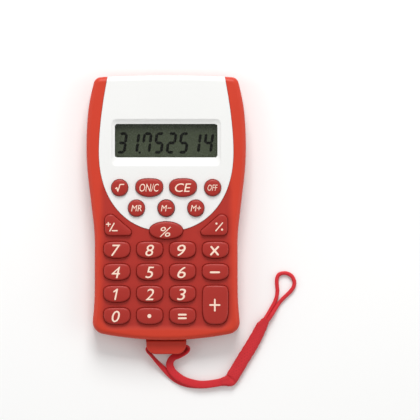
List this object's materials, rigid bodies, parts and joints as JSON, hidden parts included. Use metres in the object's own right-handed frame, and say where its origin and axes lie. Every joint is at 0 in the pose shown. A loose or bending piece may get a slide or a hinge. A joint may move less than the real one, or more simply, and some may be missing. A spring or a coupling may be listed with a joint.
{
  "type": "pocket calculator",
  "caption": "Slim waisted pocket calculator with a white display panel, red keys that press in, a sliding battery cover and a woven wrist lanyard through an end lug.",
  "frame": {"origin": "centre of the case's footprint, lug included, on the surface that its back lies on", "axes": "+X right as the keys are read, +Y towards the display end, +Z out of the keys"},
  "size_m": [0.0902, 0.1336, 0.0131],
  "materials": {
    "shell_red": "satin moulded",
    "panel_white": "satin moulded",
    "key_red": "polished",
    "legend_cream": "printed ink",
    "window_clear": "clear polished acrylic",
    "lcd_glass": "grey-green polarised glass",
    "lcd_segment": "black segments",
    "connector_rubber": "striped",
    "board_green": "solder mask",
    "mat_silicone": "soft",
    "chip_resin": "cured drop",
    "resistor_ceramic": "glazed",
    "cell_steel": "bright",
    "contact_nickel": "nickel plated",
    "screw_zinc": "zinc plated",
    "lanyard_woven": "woven tape"
  },
  "bodies": {
    "case": {"front_shell": "shell_red", "rear_shell": "shell_red", "face_panel": "panel_white", "lcd_window": "window_clear", "lcd_cell": "lcd_glass", "lcd_connector": "connector_rubber", "circuit_board": "board_green", "keypad_mat": "mat_silicone", "chip_blob": "chip_resin", "clock_resistor": "resistor_ceramic", "battery_cell": "cell_steel", "battery_contact_negative": "contact_nickel", "battery_contact_positive": "contact_nickel", "case_screw_1": "screw_zinc", "case_screw_2": "screw_zinc", "case_screw_3": "screw_zinc", "case_screw_4": "screw_zinc", "board_screw_1": "screw_zinc", "board_screw_2": "screw_zinc", "board_screw_3": "screw_zinc", "board_screw_4": "screw_zinc", "lanyard_strap": "lanyard_woven", "lanyard_sleeve": "lanyard_woven", "lanyard_loop": "lanyard_woven"},
    "battery_door": {"battery_door": "shell_red"},
    "key_0": {"key_0": "key_red"},
    "key_1": {"key_1": "key_red"},
    "key_2": {"key_2": "key_red"},
    "key_3": {"key_3": "key_red"},
    "key_4": {"key_4": "key_red"},
    "key_5": {"key_5": "key_red"},
    "key_6": {"key_6": "key_red"},
    "key_7": {"key_7": "key_red"},
    "key_8": {"key_8": "key_red"},
    "key_9": {"key_9": "key_red"},
    "key_point": {"key_point": "key_red"},
    "key_equals": {"key_equals": "key_red"},
    "key_plus": {"key_plus": "key_red"},
    "key_minus": {"key_minus": "key_red"},
    "key_multiply": {"key_multiply": "key_red"},
    "key_divide": {"key_divide": "key_red"},
    "key_sign": {"key_sign": "key_red"},
    "key_percent": {"key_percent": "key_red"},
    "key_root": {"key_root": "key_red"},
    "key_on_clear": {"key_on_clear": "key_red"},
    "key_clear_entry": {"key_clear_entry": "key_red"},
    "key_off": {"key_off": "key_red"},
    "key_memory_recall": {"key_memory_recall": "key_red"},
    "key_memory_minus": {"key_memory_minus": "key_red"},
    "key_memory_plus": {"key_memory_plus": "key_red"}
  },
  "joints": [
    {"name": "battery_door_slide", "type": "slide", "parent": "case", "child": "battery_door", "axis": [0, 1, 0], "range_m": [0, 0.016]},
    {"name": "key_0_press", "type": "slide", "parent": "case", "child": "key_0", "axis": [0, 0, -1], "range_m": [0, 0.0008], "stiffness_N_per_m": 400, "deforming": ["keypad_mat"]},
    {"name": "key_1_press", "type": "slide", "parent": "case", "child": "key_1", "axis": [0, 0, -1], "range_m": [0, 0.0008], "stiffness_N_per_m": 400, "deforming": ["keypad_mat"]},
    {"name": "key_2_press", "type": "slide", "parent": "case", "child": "key_2", "axis": [0, 0, -1], "range_m": [0, 0.0008], "stiffness_N_per_m": 400, "deforming": ["keypad_mat"]},
    {"name": "key_3_press", "type": "slide", "parent": "case", "child": "key_3", "axis": [0, 0, -1], "range_m": [0, 0.0008], "stiffness_N_per_m": 400, "deforming": ["keypad_mat"]},
    {"name": "key_4_press", "type": "slide", "parent": "case", "child": "key_4", "axis": [0, 0, -1], "range_m": [0, 0.0008], "stiffness_N_per_m": 400, "deforming": ["keypad_mat"]},
    {"name": "key_5_press", "type": "slide", "parent": "case", "child": "key_5", "axis": [0, 0, -1], "range_m": [0, 0.0008], "stiffness_N_per_m": 400, "deforming": ["keypad_mat"]},
    {"name": "key_6_press", "type": "slide", "parent": "case", "child": "key_6", "axis": [0, 0, -1], "range_m": [0, 0.0008], "stiffness_N_per_m": 400, "deforming": ["keypad_mat"]},
    {"name": "key_7_press", "type": "slide", "parent": "case", "child": "key_7", "axis": [0, 0, -1], "range_m": [0, 0.0008], "stiffness_N_per_m": 400, "deforming": ["keypad_mat"]},
    {"name": "key_8_press", "type": "slide", "parent": "case", "child": "key_8", "axis": [0, 0, -1], "range_m": [0, 0.0008], "stiffness_N_per_m": 400, "deforming": ["keypad_mat"]},
    {"name": "key_9_press", "type": "slide", "parent": "case", "child": "key_9", "axis": [0, 0, -1], "range_m": [0, 0.0008], "stiffness_N_per_m": 400, "deforming": ["keypad_mat"]},
    {"name": "key_point_press", "type": "slide", "parent": "case", "child": "key_point", "axis": [0, 0, -1], "range_m": [0, 0.0008], "stiffness_N_per_m": 400, "deforming": ["keypad_mat"]},
    {"name": "key_equals_press", "type": "slide", "parent": "case", "child": "key_equals", "axis": [0, 0, -1], "range_m": [0, 0.0008], "stiffness_N_per_m": 400, "deforming": ["keypad_mat"]},
    {"name": "key_plus_press", "type": "slide", "parent": "case", "child": "key_plus", "axis": [0, 0, -1], "range_m": [0, 0.0008], "stiffness_N_per_m": 400, "deforming": ["keypad_mat"]},
    {"name": "key_minus_press", "type": "slide", "parent": "case", "child": "key_minus", "axis": [0, 0, -1], "range_m": [0, 0.0008], "stiffness_N_per_m": 400, "deforming": ["keypad_mat"]},
    {"name": "key_multiply_press", "type": "slide", "parent": "case", "child": "key_multiply", "axis": [0, 0, -1], "range_m": [0, 0.0008], "stiffness_N_per_m": 400, "deforming": ["keypad_mat"]},
    {"name": "key_divide_press", "type": "slide", "parent": "case", "child": "key_divide", "axis": [0, 0, -1], "range_m": [0, 0.0008], "stiffness_N_per_m": 400, "deforming": ["keypad_mat"]},
    {"name": "key_sign_press", "type": "slide", "parent": "case", "child": "key_sign", "axis": [0, 0, -1], "range_m": [0, 0.0008], "stiffness_N_per_m": 400, "deforming": ["keypad_mat"]},
    {"name": "key_percent_press", "type": "slide", "parent": "case", "child": "key_percent", "axis": [0, 0, -1], "range_m": [0, 0.0008], "stiffness_N_per_m": 400, "deforming": ["keypad_mat"]},
    {"name": "key_root_press", "type": "slide", "parent": "case", "child": "key_root", "axis": [0, 0, -1], "range_m": [0, 0.0008], "stiffness_N_per_m": 400, "deforming": ["keypad_mat"]},
    {"name": "key_on_clear_press", "type": "slide", "parent": "case", "child": "key_on_clear", "axis": [0, 0, -1], "range_m": [0, 0.0008], "stiffness_N_per_m": 400, "deforming": ["keypad_mat"]},
    {"name": "key_clear_entry_press", "type": "slide", "parent": "case", "child": "key_clear_entry", "axis": [0, 0, -1], "range_m": [0, 0.0008], "stiffness_N_per_m": 400, "deforming": ["keypad_mat"]},
    {"name": "key_off_press", "type": "slide", "parent": "case", "child": "key_off", "axis": [0, 0, -1], "range_m": [0, 0.0008], "stiffness_N_per_m": 400, "deforming": ["keypad_mat"]},
    {"name": "key_memory_recall_press", "type": "slide", "parent": "case", "child": "key_memory_recall", "axis": [0, 0, -1], "range_m": [0, 0.0008], "stiffness_N_per_m": 400, "deforming": ["keypad_mat"]},
    {"name": "key_memory_minus_press", "type": "slide", "parent": "case", "child": "key_memory_minus", "axis": [0, 0, -1], "range_m": [0, 0.0008], "stiffness_N_per_m": 400, "deforming": ["keypad_mat"]},
    {"name": "key_memory_plus_press", "type": "slide", "parent": "case", "child": "key_memory_plus", "axis": [0, 0, -1], "range_m": [0, 0.0008], "stiffness_N_per_m": 400, "deforming": ["keypad_mat"]}
  ]
}
